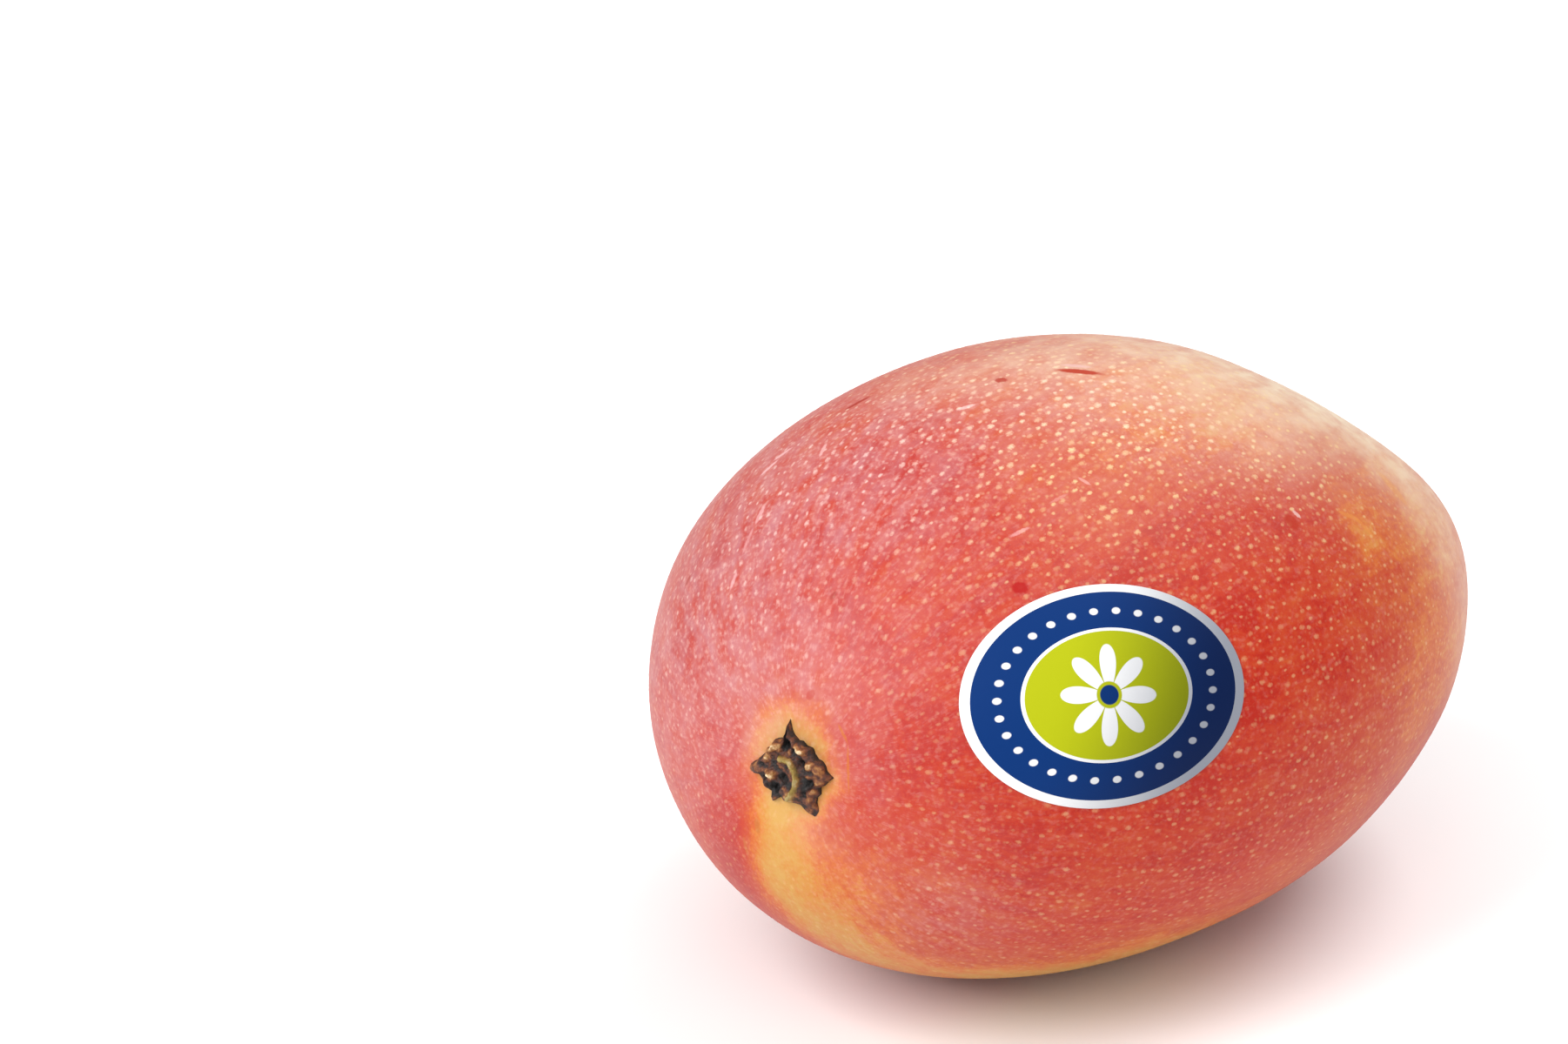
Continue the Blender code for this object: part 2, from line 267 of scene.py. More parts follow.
keep(skin_mesh, "bloom", patched(BLOOM, BLOOM_PATCHES) * (1 - HALO_CLEAR * in_halo))
# the pale cream: partly the skin's own, partly a painted highlight along the upper edge and apex rim
keep(skin_mesh, "pale_and_sheen", patched(PALE_AND_SHEEN, PALE_AND_SHEEN_PATCHES))
keep(skin_mesh, "dots", patched(DOTS, DOT_PATCHES))
keep(skin_mesh, "dot_size", patched(DOT_SIZE, DOT_SIZE_PATCHES))


def linear(hex_colour):
    """An sRGB hex colour as the linear red, green, blue and alpha that Blender takes."""
    channels = [int(hex_colour[index:index + 2], 16) / 255 for index in (1, 3, 5)]
    return (*[c / 12.92 if c <= 0.04045 else ((c + 0.055) / 1.055) ** 2.4 for c in channels], 1.0)


def add(tree, kind, inputs=None, **settings):
    """Add a node with its settings. Each input is a value, or the output that is linked to it."""
    node = tree.nodes.new(kind)
    for name, value in settings.items():
        setattr(node, name, value)
    for name, value in (inputs or {}).items():
        if isinstance(value, bpy.types.NodeSocket):
            tree.links.new(value, node.inputs[name])
        else:
            node.inputs[name].default_value = value
    return node


def new_material(name):
    material = bpy.data.materials.new(name)
    material.use_nodes = True
    return material, material.node_tree, material.node_tree.nodes["Principled BSDF"]


def paint_stops(ramp, colours):
    """Give a colour ramp its stops, each a position and a hex colour."""
    stops = ramp.color_ramp.elements
    while len(stops) < len(colours):
        stops.new(0.5)
    for stop, (position, colour) in zip(stops, colours):
        stop.position = position
        stop.color = linear(colour)


# Mango skin: a smooth cuticle with a satin wax. It gives a wide soft shine, and a whitish bloom where
# the wax is thick. Small pale dots, the lenticels, lie all over it.
SKIN_COLOURS = (
    (0.00, "#BE9046"), (0.16, "#BE8238"), (0.32, "#C0742E"), (0.47, "#BD5A1D"), (0.61, "#B4491E"),
    (0.76, "#B03817"), (0.90, "#AD2A0F"), (1.00, "#A51C08"),
)
BLOOM_COLOUR = "#BB959C"
# the pale cream, partly the skin's own and partly a painted highlight
PALE_AND_SHEEN_COLOUR = "#D8C4A8"
DOT_COLOUR = "#D6B884"
DOT_UNDER_BLOOM = "#E2C4BA"
# The layers that break up the colour: their size in mm and how much blush they add
MOTTLES = ((9.0, 0.09), (2.6, 0.09), (0.9, 0.08), (0.35, 0.08))
STREAKS = ((16.0, 1.5, 0.12), (60.0, 5.0, 0.09))     # how many round, how many along, and the blush
STREAKS_FROM = (0.12, 0.55)      # the angle from the stem, in radians, over which the streaks come in
STREAKS_STRAY = 0.12             # how far they waver, as a share of the way round
STRAY_SIZE = 7.0 * MM            # the size of that wavering
NOISE_SPAN = (0.25, 0.75)        # nearly all of a noise lies between these

skin, tree, shader = new_material("mango skin with wax bloom")
place = add(tree, "ShaderNodeTexCoord").outputs["Object"]
drift = add(tree, "ShaderNodeTexNoise", {"Vector": place, "Scale": 1 / STRAY_SIZE, "Detail": 2.0})
drift_centred = add(
    tree, "ShaderNodeVectorMath", {0: drift.outputs["Color"], 1: (0.5, 0.5, 0.5)}, operation="SUBTRACT"
)
flow_lines = add(tree, "ShaderNodeAttribute", attribute_name="flow").outputs["Vector"]
flow = add(
    tree, "ShaderNodeVectorMath", {0: drift_centred.outputs[0], 1: (STREAKS_STRAY,) * 3, 2: flow_lines},
    operation="MULTIPLY_ADD",
).outputs[0]
blush_level = add(tree, "ShaderNodeAttribute", attribute_name="blush").outputs["Fac"]
from_stem_pole = add(tree, "ShaderNodeSeparateXYZ", {"Vector": flow}).outputs["Z"]
open_skin = add(
    tree, "ShaderNodeMapRange",
    {"Value": from_stem_pole, "From Min": STREAKS_FROM[0], "From Max": STREAKS_FROM[1]},
    interpolation_type="SMOOTHSTEP",
).outputs["Result"]
layers = [(place, (1 / (size * MM),) * 3, gain) for size, gain in MOTTLES]
layers += [(flow, (around, around, along), gain) for around, along, gain in STREAKS]
for followed, density, gain in layers:
    scaled = add(tree, "ShaderNodeVectorMath", {0: followed, 1: density}, operation="MULTIPLY")
    grain = add(tree, "ShaderNodeTexNoise", {"Vector": scaled.outputs[0], "Scale": 1.0, "Detail": 2.5})
    change = add(
        tree, "ShaderNodeMapRange",
        {"Value": grain.outputs["Fac"], "From Min": NOISE_SPAN[0], "From Max": NOISE_SPAN[1],
         "To Min": -gain, "To Max": gain},
        clamp=False,
    )
    blush_level = add(
        tree, "ShaderNodeMath",
        {0: change.outputs["Result"], 1: open_skin if followed == flow else 1.0, 2: blush_level},
        operation="MULTIPLY_ADD",
    ).outputs[0]
ripeness = add(tree, "ShaderNodeValToRGB", {"Fac": blush_level})
paint_stops(ripeness, SKIN_COLOURS)
skin_colour = ripeness.outputs["Color"]

# The wax and the pale places, which carry the painted highlight, are broken into clouds, drawn out along the
# lines from stem to apex
CLOUD_SIZE = 3.0 * MM
CLOUDS_ROUND, CLOUDS_ALONG = 18.0, 2.6           # how many lie round the fruit and along it
CLOUDS_IN_BLOOM, CLOUDS_IN_PALE_AND_SHEEN = 0.65, 0.30     # how much they add or take, as a share
COVER_SPAN = (0.75, 1.25)                        # the sum of the two noises, from bare to thick
clouds = add(tree, "ShaderNodeTexNoise", {"Vector": place, "Scale": 1 / CLOUD_SIZE, "Detail": 5.0})
drawn_out = add(
    tree, "ShaderNodeVectorMath", {0: flow, 1: (CLOUDS_ROUND, CLOUDS_ROUND, CLOUDS_ALONG)},
    operation="MULTIPLY",
)
wisps = add(tree, "ShaderNodeTexNoise", {"Vector": drawn_out.outputs[0], "Scale": 1.0, "Detail": 5.0})
wisp_share = add(tree, "ShaderNodeMix", {0: open_skin, 2: 0.5, 3: wisps.outputs["Fac"]})
cover = add(
    tree, "ShaderNodeMath", {0: clouds.outputs["Fac"], 1: wisp_share.outputs[0]}, operation="ADD"
)
# The bloom, then the pale cream, which is partly a painted highlight along the upper edge and the apex rim
for field, colour, unevenness in (
    ("bloom", BLOOM_COLOUR, CLOUDS_IN_BLOOM), ("pale_and_sheen", PALE_AND_SHEEN_COLOUR, CLOUDS_IN_PALE_AND_SHEEN),
):
    cloud_share = add(
        tree, "ShaderNodeMapRange",
        {"Value": cover.outputs[0], "From Min": COVER_SPAN[0], "From Max": COVER_SPAN[1],
         "To Min": 1 - unevenness, "To Max": 1 + unevenness},
    )
    amount = add(tree, "ShaderNodeAttribute", attribute_name=field)
    share = add(
        tree, "ShaderNodeMath", {0: amount.outputs["Fac"], 1: cloud_share.outputs["Result"]},
        operation="MULTIPLY", use_clamp=True,
    )
    skin_colour = add(
        tree, "ShaderNodeMix", {0: share.outputs[0], 6: skin_colour, 7: linear(colour)}, data_type="RGBA"
    ).outputs[2]

# Fine pale flecks where the wax is worn, in short dashes that follow the same lines
FLECK_SIZE = 0.75 * MM
FLECKS_ROUND, FLECKS_ALONG = 70.0, 22.0
FLECK_COLOUR = "#D9A79C"
FLECK_BASE, FLECKS_IN_BLOOM = 0.10, 0.75     # their strength everywhere, and what full bloom adds
FLECK_DASHES = 0.6                           # the weight of the dashes beside the round specks
FLECK_SPAN = (0.76, 1.10)                    # the sum of the two, from no fleck to its middle
fleck_ways = add(
    tree, "ShaderNodeVectorMath", {0: flow, 1: (FLECKS_ROUND, FLECKS_ROUND, FLECKS_ALONG)},
    operation="MULTIPLY",
)
dashes = add(tree, "ShaderNodeTexNoise", {"Vector": fleck_ways.outputs[0], "Scale": 1.0, "Detail": 2.0})
specks = add(tree, "ShaderNodeTexNoise", {"Vector": place, "Scale": 1 / FLECK_SIZE, "Detail": 2.0})
fleck_sum = add(
    tree, "ShaderNodeMath", {0: dashes.outputs["Fac"], 1: FLECK_DASHES, 2: specks.outputs["Fac"]},
    operation="MULTIPLY_ADD",
)
bloom_level = add(tree, "ShaderNodeAttribute", attribute_name="bloom")
fleck_strength = add(
    tree, "ShaderNodeMath", {0: bloom_level.outputs["Fac"], 1: FLECKS_IN_BLOOM, 2: FLECK_BASE},
    operation="MULTIPLY_ADD",
)
fleck_share = add(
    tree, "ShaderNodeMapRange",
    {"Value": fleck_sum.outputs[0], "From Min": FLECK_SPAN[0], "From Max": FLECK_SPAN[1],
     "To Max": fleck_strength.outputs[0]},
    interpolation_type="SMOOTHSTEP",
)
skin_colour = add(
    tree, "ShaderNodeMix", {0: fleck_share.outputs["Result"], 6: skin_colour, 7: linear(FLECK_COLOUR)},
    data_type="RGBA",
).outputs[2]

# Small pores between the lenticels, too fine to model, of about half a millimetre. Their edges and
# those of the lenticels' spots and of the marks are frayed.
PORE_CELL = 0.85 * MM
PORE_SPAN = (0.42, 0.05)          # from a pore's edge to its full colour, as shares of a cell
PORE_STRENGTH = 0.6
FRAY_SIZE = 0.35 * MM
FRAY_REACH = 0.30 * MM
SPOT_FRAY = 1.3
SPOT_SPAN = (0.05, 0.90)          # from a spot's edge to its full colour, as shares of its rise
DOT_BLOOM_SPAN = (0.05, 0.25)     # the bloom over which the dots turn from cream to pink
fray = add(tree, "ShaderNodeTexNoise", {"Vector": place, "Scale": 1 / FRAY_SIZE, "Detail": 2.0})
centred = add(
    tree, "ShaderNodeVectorMath", {0: fray.outputs["Color"], 1: (0.5, 0.5, 0.5)}, operation="SUBTRACT"
)
strayed = add(
    tree, "ShaderNodeVectorMath", {0: centred.outputs[0], 1: (FRAY_REACH,) * 3, 2: place},
    operation="MULTIPLY_ADD",
)
pore_cells = add(tree, "ShaderNodeTexVoronoi", {"Vector": strayed.outputs[0], "Scale": 1 / PORE_CELL})
pore = add(
    tree, "ShaderNodeMapRange",
    {"Value": pore_cells.outputs["Distance"], "From Min": PORE_SPAN[0], "From Max": PORE_SPAN[1],
     "To Max": PORE_STRENGTH},
    interpolation_type="SMOOTHSTEP",
)
pore_chance = add(tree, "ShaderNodeSeparateColor", {"Color": pore_cells.outputs["Color"]})
pore_mask = add(
    tree, "ShaderNodeMath", {0: pore.outputs["Result"], 1: pore_chance.outputs["Red"]}, operation="MULTIPLY"
)
spot = add(tree, "ShaderNodeAttribute", attribute_name="spot")
ragged_spot = add(
    tree, "ShaderNodeMath", {0: fray.outputs["Fac"], 1: SPOT_FRAY, 2: spot.outputs["Fac"]},
    operation="MULTIPLY_ADD",
)
spot_mask = add(
    tree, "ShaderNodeMapRange",
    {"Value": ragged_spot.outputs[0], "From Min": 0.5 * SPOT_FRAY + SPOT_SPAN[0],
     "From Max": 0.5 * SPOT_FRAY + SPOT_SPAN[1]},
    interpolation_type="SMOOTHSTEP",
)
dot_mask = add(
    tree, "ShaderNodeMath", {0: spot_mask.outputs["Result"], 1: pore_mask.outputs[0]}, operation="MAXIMUM"
)
dots = add(tree, "ShaderNodeAttribute", attribute_name="dots")
dot_share = add(
    tree, "ShaderNodeMath", {0: dot_mask.outputs[0], 1: dots.outputs["Fac"]}, operation="MULTIPLY",
    use_clamp=True,
)
dot_bloom = add(
    tree, "ShaderNodeMapRange",
    {"Value": bloom_level.outputs["Fac"], "From Min": DOT_BLOOM_SPAN[0], "From Max": DOT_BLOOM_SPAN[1]},
)
dot_colour = add(
    tree, "ShaderNodeMix",
    {0: dot_bloom.outputs["Result"], 6: linear(DOT_COLOUR), 7: linear(DOT_UNDER_BLOOM)},
    data_type="RGBA",
)
skin_colour = add(
    tree, "ShaderNodeMix", {0: dot_share.outputs[0], 6: skin_colour, 7: dot_colour.outputs[2]},
    data_type="RGBA",
).outputs[2]

# Scratches and small scabs: bearing and rise in degrees, the heading and slope of their length, half
# their length and width in mm, colour and strength. The pale mark just past the first scar and the pale
# one just past the nick are painted highlights, on the scar's raised lip and in the nick.
MARKS = (
    (242.7, 82.1, -41, 0, 3.3, 0.75, "#A42C08", 1.00), (243.5, 84.6, -41, 0, 2.0, 0.55, "#D0A8A4", 0.55),
    (182.2, 73.3, -41, 0, 0.9, 0.8, "#9C2410", 0.85), (147.9, 52.3, -20, 10, 2.0, 0.50, "#9A2410", 1.00),
    (283.4, 36.5, -60, -30, 1.4, 1.1, "#A42202", 0.90), (286.3, 37.2, -60, -30, 0.8, 0.35, "#D8B8B0", 0.60),
    (218.9, 31.3, -41, 0, 1.2, 0.9, "#A00602", 0.95), (198.5, 9.5, -90, -48, 1.4, 0.22, "#B8661E", 0.60),
    (199.8, 5.4, -125, -76, 3.2, 0.20, "#B8661E", 0.60),
    (190.9, 25.4, 0, 40, 0.7, 0.4, "#8E2A24", 0.55), (193.1, 13.1, 0, 10, 0.8, 0.6, "#A8342A", 0.55),
    (159.2, 17.6, 0, 60, 0.9, 0.5, "#96301E", 0.60),
    (300.6, 31.1, -11, -29, 2.1, 0.45, "#CC8034", 0.50), (302.2, 27.8, -49, -47, 1.9, 0.45, "#CC8034", 0.45),
    (322.0, 26.0, -64, -44, 3.4, 1.10, "#CE8E48", 0.40),
    (187.4, -5.0, 0, 80, 1.2, 0.5, "#A8621E", 0.55), (188, -17, 0, 60, 0.6, 0.5, "#B87230", 0.45),
    (184.6, -9.0, 0, 80, 1.6, 0.35, "#B06A30", 0.40), (20, 35, 30, 10, 1.6, 0.4, "#A04C20", 0.60),
    (95, 25, 10, 40, 1.0, 0.8, "#983818", 0.60),
)
# Pale scuffs in the wax, given in the same way
SCUFFS = (
    (153.9, 36.0, -16, 35, 1.7, 0.45, "#E6BCBC", 0.55), (152.4, 38.7, -33, 35, 1.6, 0.40, "#E6BCBC", 0.50),
    (166.3, 31.0, 23, 31, 1.8, 0.45, "#E2B4B4", 0.45), (171.7, 22.0, 22, 45, 1.4, 0.35, "#E2B4B4", 0.45),
    (163.8, 43.6, 32, 15, 1.6, 0.35, "#E6C0BC", 0.45), (168.6, 27.3, 24, 36, 2.1, 0.35, "#DDA8A8", 0.35),
    (217.4, 40.2, -12, 14, 1.5, 0.30, "#E6BCBC", 0.32), (186.2, 63.1, -22, 10, 1.4, 0.40, "#E8C4C0", 0.50),
    (231.2, 51.2, -67, -23, 1.0, 0.28, "#E6C0B8", 0.32), (224.7, 47.2, -5, 12, 1.6, 0.25, "#E2B0A8", 0.22),
)
MARK_DEPTH = 1.5 * MM
MARK_SPAN = (1.15, 0.65)     # from a mark's edge to its full colour, as shares of its half length or width
for bearing, rise, heading, slope, half_length, half_width, colour, strength in MARKS + SCUFFS:
    centre, normal = on_skin(bearing, rise)
    head, climb = math.radians(heading), math.radians(slope)
    along = Vector((math.cos(head) * math.cos(climb), math.sin(head) * math.cos(climb), math.sin(climb)))
    along = (along - normal * along.dot(normal)).normalized()
    turn = Matrix((along, normal.cross(along), normal)).transposed().to_euler()
    local = add(
        tree, "ShaderNodeMapping",
        {"Vector": strayed.outputs[0], "Location": centre, "Rotation": turn,
         "Scale": (half_length * MM, half_width * MM, MARK_DEPTH)},
        vector_type="TEXTURE",
    )
    reach = add(tree, "ShaderNodeVectorMath", {0: local.outputs[0]}, operation="LENGTH")
    mask = add(
        tree, "ShaderNodeMapRange",
        {"Value": reach.outputs["Value"], "From Min": MARK_SPAN[0], "From Max": MARK_SPAN[1],
         "To Max": strength},
        interpolation_type="SMOOTHSTEP",
    )
    skin_colour = add(
        tree, "ShaderNodeMix", {0: mask.outputs["Result"], 6: skin_colour, 7: linear(colour)},
        data_type="RGBA",
    ).outputs[2]
tree.links.new(skin_colour, shader.inputs["Base Color"])
shader.inputs["Roughness"].default_value = 0.45
shader.inputs["IOR"].default_value = 1.4
shader.inputs["Specular IOR Level"].default_value = 0.32
# The faint grain of the peel, in swellings of about a millimetre
PEEL_SIZE = 0.9 * MM
PEEL_RELIEF = 0.03 * MM
peel = add(tree, "ShaderNodeTexNoise", {"Vector": place, "Scale": 1 / PEEL_SIZE, "Detail": 3.0})
skin_bump = add(
    tree, "ShaderNodeBump", {"Strength": 0.6, "Distance": PEEL_RELIEF, "Height": peel.outputs["Fac"]}
)
tree.links.new(skin_bump.outputs["Normal"], shader.inputs["Normal"])
fruit.data.materials.append(skin)
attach(fruit, "root")
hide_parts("fruit")

# The lenticels. The corky pores that the fruit breathes through, all over the skin, about a millimetre
# across and raised a few hundredths. They are drawn out a little along the lines from the stem to the
# apex, and they take the skin's own material, which pales towards the middle of each.
LENTICELS = {
    "Least Spacing": 1.12 * MM, "Most per Area": 0.80 / MM ** 2, "Radius": 0.50 * MM, "Height": 0.030 * MM,
    "Sunk Rim": -0.012 * MM, "Drawn Out": 1.45,
}
LENTICEL_SIDES = 8
TIP_RADIUS = 0.1 * MM                # a cone's points within this are its tip
CLEARNESS_LEAST, CLEARNESS_MOST = 0.25, 1.30     # of each one, as a share of what its place gives
GROWTH_LEAST, GROWTH_MOST = 0.55, 1.10           # of each one, in the same way
lenticel_tree = bpy.data.node_groups.new("lenticels", "GeometryNodeTree")
lenticel_tree.interface.new_socket("Skin", in_out="INPUT", socket_type="NodeSocketGeometry")
for name in LENTICELS:
    lenticel_tree.interface.new_socket(name, in_out="INPUT", socket_type="NodeSocketFloat")
lenticel_tree.interface.new_socket("Lenticels", in_out="OUTPUT", socket_type="NodeSocketGeometry")
given = add(lenticel_tree, "NodeGroupInput").outputs
scatter = add(
    lenticel_tree, "GeometryNodeDistributePointsOnFaces",
    {"Mesh": given["Skin"], "Distance Min": given["Least Spacing"], "Density Max": given["Most per Area"],
     "Seed": 4},
    distribute_method="POISSON",
)
unequal = add(
    lenticel_tree, "FunctionNodeRandomValue", {2: CLEARNESS_LEAST, 3: CLEARNESS_MOST, "Seed": 5},
    data_type="FLOAT",
)
clearness = add(lenticel_tree, "GeometryNodeInputNamedAttribute", {"Name": "dots"}, data_type="FLOAT")
shown = add(
    lenticel_tree, "ShaderNodeMath",
    {0: clearness.outputs["Attribute"], 1: unequal.outputs[1]}, operation="MULTIPLY",
)
faded = add(
    lenticel_tree, "GeometryNodeStoreNamedAttribute",
    {"Geometry": scatter.outputs["Points"], "Name": "dots", "Value": shown.outputs[0]},
    data_type="FLOAT", domain="POINT",
)
cone = add(
    lenticel_tree, "GeometryNodeMeshCone",
    {"Vertices": LENTICEL_SIDES, "Radius Top": 0.0, "Radius Bottom": given["Radius"]}, fill_type="NGON",
)
cone_point = add(lenticel_tree, "GeometryNodeInputPosition")
cone_place = add(lenticel_tree, "ShaderNodeSeparateXYZ", {0: cone_point.outputs[0]})
cone_level = add(
    lenticel_tree, "ShaderNodeCombineXYZ", {0: cone_place.outputs[0], 1: cone_place.outputs[1]}
)
cone_radius = add(lenticel_tree, "ShaderNodeVectorMath", {0: cone_level.outputs[0]}, operation="LENGTH")
tip = add(
    lenticel_tree, "ShaderNodeMath",
    {0: cone_radius.outputs["Value"], 1: TIP_RADIUS}, operation="LESS_THAN",
)
tip_height = add(
    lenticel_tree, "ShaderNodeMapRange",
    {"Value": tip.outputs[0], "To Min": given["Sunk Rim"], "To Max": given["Height"]},
)
flattened = add(
    lenticel_tree, "ShaderNodeCombineXYZ",
    {0: cone_place.outputs[0], 1: cone_place.outputs[1], 2: tip_height.outputs["Result"]},
)
low_cone = add(
    lenticel_tree, "GeometryNodeSetPosition",
    {"Geometry": cone.outputs["Mesh"], "Position": flattened.outputs[0]},
)
marked = add(
    lenticel_tree, "GeometryNodeStoreNamedAttribute",
    {"Geometry": low_cone.outputs[0], "Name": "spot", "Value": tip.outputs[0]},
    data_type="FLOAT", domain="POINT",
)
toward_apex = add(
    lenticel_tree, "GeometryNodeInputNamedAttribute", {"Name": "meridian"}, data_type="FLOAT_VECTOR"
)
aligned = add(
    lenticel_tree, "FunctionNodeAlignRotationToVector",
    {"Rotation": scatter.outputs["Rotation"], "Vector": toward_apex.outputs["Attribute"]},
    axis="X", pivot_axis="Z",
)
size_field = add(lenticel_tree, "GeometryNodeInputNamedAttribute", {"Name": "dot_size"}, data_type="FLOAT")
growth = add(
    lenticel_tree, "FunctionNodeRandomValue", {2: GROWTH_LEAST, 3: GROWTH_MOST, "Seed": 6},
    data_type="FLOAT",
)
grown = add(
    lenticel_tree, "ShaderNodeMath",
    {0: size_field.outputs["Attribute"], 1: growth.outputs[1]}, operation="MULTIPLY",
)
drawn = add(lenticel_tree, "ShaderNodeCombineXYZ", {0: given["Drawn Out"], 1: 1.0, 2: 1.0})
cone_scale = add(
    lenticel_tree, "ShaderNodeVectorMath",
    {0: drawn.outputs[0], "Scale": grown.outputs[0]}, operation="SCALE",
)
placed = add(
    lenticel_tree, "GeometryNodeInstanceOnPoints",
    {"Points": faded.outputs["Geometry"], "Instance": marked.outputs["Geometry"],
     "Rotation": aligned.outputs["Rotation"], "Scale": cone_scale.outputs[0]},
)
real = add(lenticel_tree, "GeometryNodeRealizeInstances", {"Geometry": placed.outputs["Instances"]})
finished = add(
    lenticel_tree, "GeometryNodeSetMaterial", {"Geometry": real.outputs["Geometry"], "Material": skin}
)
add(lenticel_tree, "NodeGroupOutput", {"Lenticels": finished.outputs["Geometry"]})


def grow(name, mesh, node_tree, values):
    """Run a geometry node tree on a mesh with the given inputs, and keep the result as a plain mesh."""
    holder = bpy.data.objects.new(name + "_holder", mesh.copy())
    bpy.context.collection.objects.link(holder)
    modifier = holder.modifiers.new(name, "NODES")
    modifier.node_group = node_tree
    for socket in node_tree.interface.items_tree:
        if socket.name in values:
            modifier[socket.identifier] = values[socket.name]
    evaluated = holder.evaluated_get(bpy.context.evaluated_depsgraph_get())
    grown_mesh = bpy.data.meshes.new_from_object(evaluated)
    bpy.data.objects.remove(holder)
    return grown_mesh


lenticels = new_piece("lenticels", grow("lenticels", skin_mesh, lenticel_tree, LENTICELS))
lenticels.data.set_sharp_from_angle(angle=math.radians(60))
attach(lenticels, "root")

# The stem stub. What is left of the stalk after it was broken off: a woody plate about two millimetres
# thick, with the scars of the flower's leaves as ragged points round it, and the torn fibres of the
# stalk as a ridge across it. It has grown into the fruit. Its sizes are in mm.
STUB_SEGMENTS = 240
STUB_RINGS = 48
STUB_OUTLINE = (             # the turn from the stem's right in degrees, and the plate's reach
    (0, 6.1), (3, 5.6), (7, 5.1), (16, 4.9), (22, 4.6), (28, 4.05), (39, 3.9), (50, 4.1), (61, 3.65),
    (72, 3.9), (81, 3.7), (92, 4.2), (97, 4.8), (100.5, 6.1), (103, 4.9), (107, 3.9), (117, 3.85),
    (128, 4.1), (142, 3.7), (152, 4.0), (161, 3.8), (173, 4.4), (181, 4.9), (189, 6.2), (194, 6.6),
    (199, 6.2), (203, 4.9), (208, 4.7), (217, 4.5), (225, 4.7), (236, 4.4), (241, 4.9), (245, 5.6),
    (249, 4.9), (255, 4.3), (268, 4.5), (278, 4.3), (288, 4.6), (296, 5.0), (301, 6.3), (305, 6.9),
    (313, 6.5), (318, 5.5), (324, 5.1), (332, 5.2), (340, 4.7), (347, 5.2), (354, 5.5),
)
PLATE_RADIUS = 4.0
PLATE_HEIGHT = 1.5
LEAST_HEIGHT = 0.15
POINT_DROP = 0.30            # the points come down by this much for each mm beyond the plate
EDGE_DROP = 0.7              # the plate is rounded down by this at its edge
EDGE_FROM = 0.8              # from this share of its reach
SKIRT_DEPTH = 0.5            # the plate's edge goes this far into the skin
RIDGE = ((-0.9, 1.2), (0.4, 1.1), (1.3, 0.2), (1.8, -0.9), (1.5, -2.5), (0.9, -3.7))
RIDGE_HEIGHT, RIDGE_WIDTH = 0.9, 0.40
RIM_AT, RIM_WIDTH = 0.86, 0.10         # the broken wall round the plate, as shares of its reach
RIM_HEIGHT = 0.45
RIM_MEAN, RIM_CHANGE = 0.5, 1.2        # how much of the wall still stands, and how that changes
RIM_BREAK = 1.7                        # the length of a broken stretch
STUB_LUMPS = (               # across and up, radius and height, a hollow's below zero
    (-1.7, -2.9, 0.75, -1.5), (-0.5, 3.2, 0.55, -1.4), (-0.9, 4.6, 0.50, -0.6), (2.2, 1.3, 0.45, -1.0),
    (3.5, -1.2, 0.60, -1.1), (-0.4, -1.3, 0.60, -0.9), (-0.8, -3.8, 0.40, -0.7), (2.7, -2.8, 0.50, -0.7),
    (-3.3, -1.9, 0.40, -0.7), (0.7, 2.4, 0.40, -0.6), (-3.9, -0.2, 0.40, -0.5),
    (-2.1, -1.1, 0.65, 1.1), (-2.0, 2.5, 0.60, 0.7), (-3.1, 0.8, 0.60, 0.5), (2.0, 2.9, 0.50, 0.6),
    (3.2, 1.1, 0.50, 0.7), (3.2, -0.2, 0.45, 0.4), (4.6, 0.5, 0.50, 0.5), (3.9, -3.9, 0.45, 0.5),
    (-2.7, -3.1, 0.40, 0.5), (0.4, -2.9, 0.35, 0.4), (-4.8, -1.0, 0.50, 0.4), (5.0, -0.9, 0.35, 0.4),
)
STUB_GRAIN = ((1.2, 0.30), (0.5, 0.22), (0.25, 0.09))     # size of the roughness and its height
FIBRE_RELIEF = 0.2           # the fibres show where the ridge stands above this
# Painted shade: the sunk edge gets this low relief so that the wood is painted black where it meets the skin
SKIRT_PAINTED_SHADE = -1.0          # what the material takes the sunk edge for, so that it is dark


def ridge_distance(x, y):
    """How far each point lies from the line along the ridge's crest."""
    nearest = np.full(x.shape, np.inf)
    for (x0, y0), (x1, y1) in zip(RIDGE, RIDGE[1:]):
        share = ((x - x0) * (x1 - x0) + (y - y0) * (y1 - y0)) / ((x1 - x0) ** 2 + (y1 - y0) ** 2)
        share = np.clip(share, 0, 1)
        nearest = np.minimum(nearest, np.hypot(x - x0 - share * (x1 - x0), y - y0 - share * (y1 - y0)))
    return nearest


turns = np.arange(STUB_SEGMENTS) * 2 * math.pi / STUB_SEGMENTS
outline_turns, outline_reaches = np.array(STUB_OUTLINE).T
outline = np.interp(np.degrees(turns), outline_turns, outline_reaches, period=360)
plate_edge = np.minimum(outline, PLATE_RADIUS)
shares = (np.arange(STUB_RINGS) + 1) / STUB_RINGS
stub_x = np.append(0.0, (shares[:, None] * outline * np.cos(turns)).ravel())
stub_y = np.append(0.0, (shares[:, None] * outline * np.sin(turns)).ravel())
beyond = np.append(0.0, np.maximum(shares[:, None] * outline - plate_edge, 0).ravel())
edge = np.append(0.0, np.repeat(shares, STUB_SEGMENTS))
ridge = np.exp(-(ridge_distance(stub_x, stub_y) / RIDGE_WIDTH) ** 2)
relief = RIDGE_HEIGHT * ridge
flat = np.stack([stub_x, stub_y, np.zeros_like(stub_x)], axis=1)
standing = RIM_MEAN + RIM_CHANGE * waves(flat, RIM_BREAK, draw=31.0)
